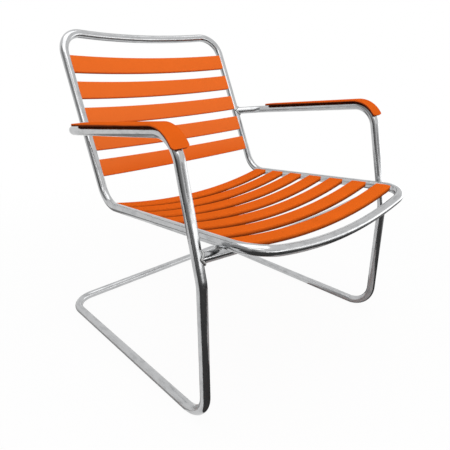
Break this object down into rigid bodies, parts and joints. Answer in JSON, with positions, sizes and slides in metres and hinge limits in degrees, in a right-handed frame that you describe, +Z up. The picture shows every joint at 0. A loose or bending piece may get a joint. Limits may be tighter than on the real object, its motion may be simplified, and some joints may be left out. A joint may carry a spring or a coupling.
{
  "type": "cantilever lounge chair",
  "caption": "Low cantilever armchair of bent steel tube: dished painted sheet-steel slats in a closed seat and back loop, flat armrest pads, floor runners.",
  "frame": {"origin": "on the floor, below the middle of the chair's outer box, on its mirror plane", "axes": "+Z up, the sitter faces -Y, +X is the sitter's left, and the chair mirrors across the plane X = 0"},
  "size_m": [0.638, 0.707, 0.7318],
  "materials": {
    "bright_tube": "bright zinc coated steel tube, polished, slightly mottled",
    "orange_paint": "satin orange paint on pressed steel",
    "painted_weld": "orange paint over weld beads, out of sight",
    "weld_metal": "zinc coated weld, uneven and duller than the tube"
  },
  "bodies": {
    "root": {"arm_and_base_tube": "bright_tube", "seat_and_back_tube": "bright_tube", "cross_bar": "bright_tube", "back_slat_1": "orange_paint", "back_slat_2": "orange_paint", "back_slat_3": "orange_paint", "back_slat_4": "orange_paint", "back_slat_5": "orange_paint", "seat_slat_1": "orange_paint", "seat_slat_2": "orange_paint", "seat_slat_3": "orange_paint", "seat_slat_4": "orange_paint", "seat_slat_5": "orange_paint", "seat_slat_6": "orange_paint", "seat_slat_7": "orange_paint", "armrest_left": "orange_paint", "armrest_right": "orange_paint", "rail_saddles": "weld_metal", "arm_end_welds": "weld_metal", "cross_bar_welds": "weld_metal", "back_slat_welds": "painted_weld", "seat_slat_welds": "painted_weld"}
  },
  "joints": []
}
